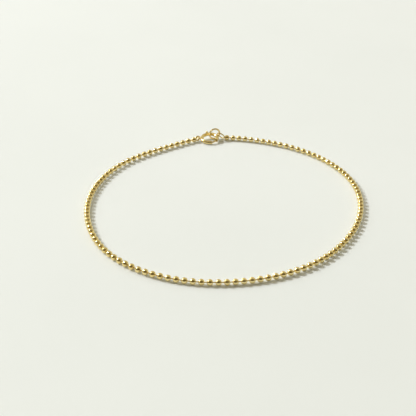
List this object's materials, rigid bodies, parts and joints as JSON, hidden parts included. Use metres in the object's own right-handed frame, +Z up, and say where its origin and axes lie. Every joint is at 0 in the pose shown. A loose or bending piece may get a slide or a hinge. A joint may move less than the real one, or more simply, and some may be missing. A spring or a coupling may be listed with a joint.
{
  "type": "bead chain anklet",
  "caption": "Gold bead chain anklet, a closed loop of small round beads on short bars, with a spring-ring clasp closed round an upright ring.",
  "frame": {"origin": "under the middle of the loop, at the level that the beads rest on", "axes": "+Z up, +Y from the front of the loop to the clasp at its back, +X to the right seen from the front"},
  "size_m": [0.0772, 0.088, 0.0039],
  "materials": {
    "chain_gold": "polished yellow gold",
    "clasp_gold": "polished yellow gold",
    "bolt_gold": "polished yellow gold, lightly rubbed",
    "ring_gold": "polished yellow gold wire"
  },
  "bodies": {
    "anklet": {"bead_chain": "chain_gold", "clasp_body": "clasp_gold", "catch_ring": "ring_gold"},
    "bolt": {"clasp_bolt": "bolt_gold"}
  },
  "joints": [
    {"name": "bolt_turn", "type": "hinge", "parent": "anklet", "child": "bolt", "pos_m": [-0.00477, 0.04026, 0.00101], "axis": [-0.0477, -0.1701, 0.9843], "range_deg": [0, 44], "stiffness_Nm_per_rad": 0.0005}
  ]
}
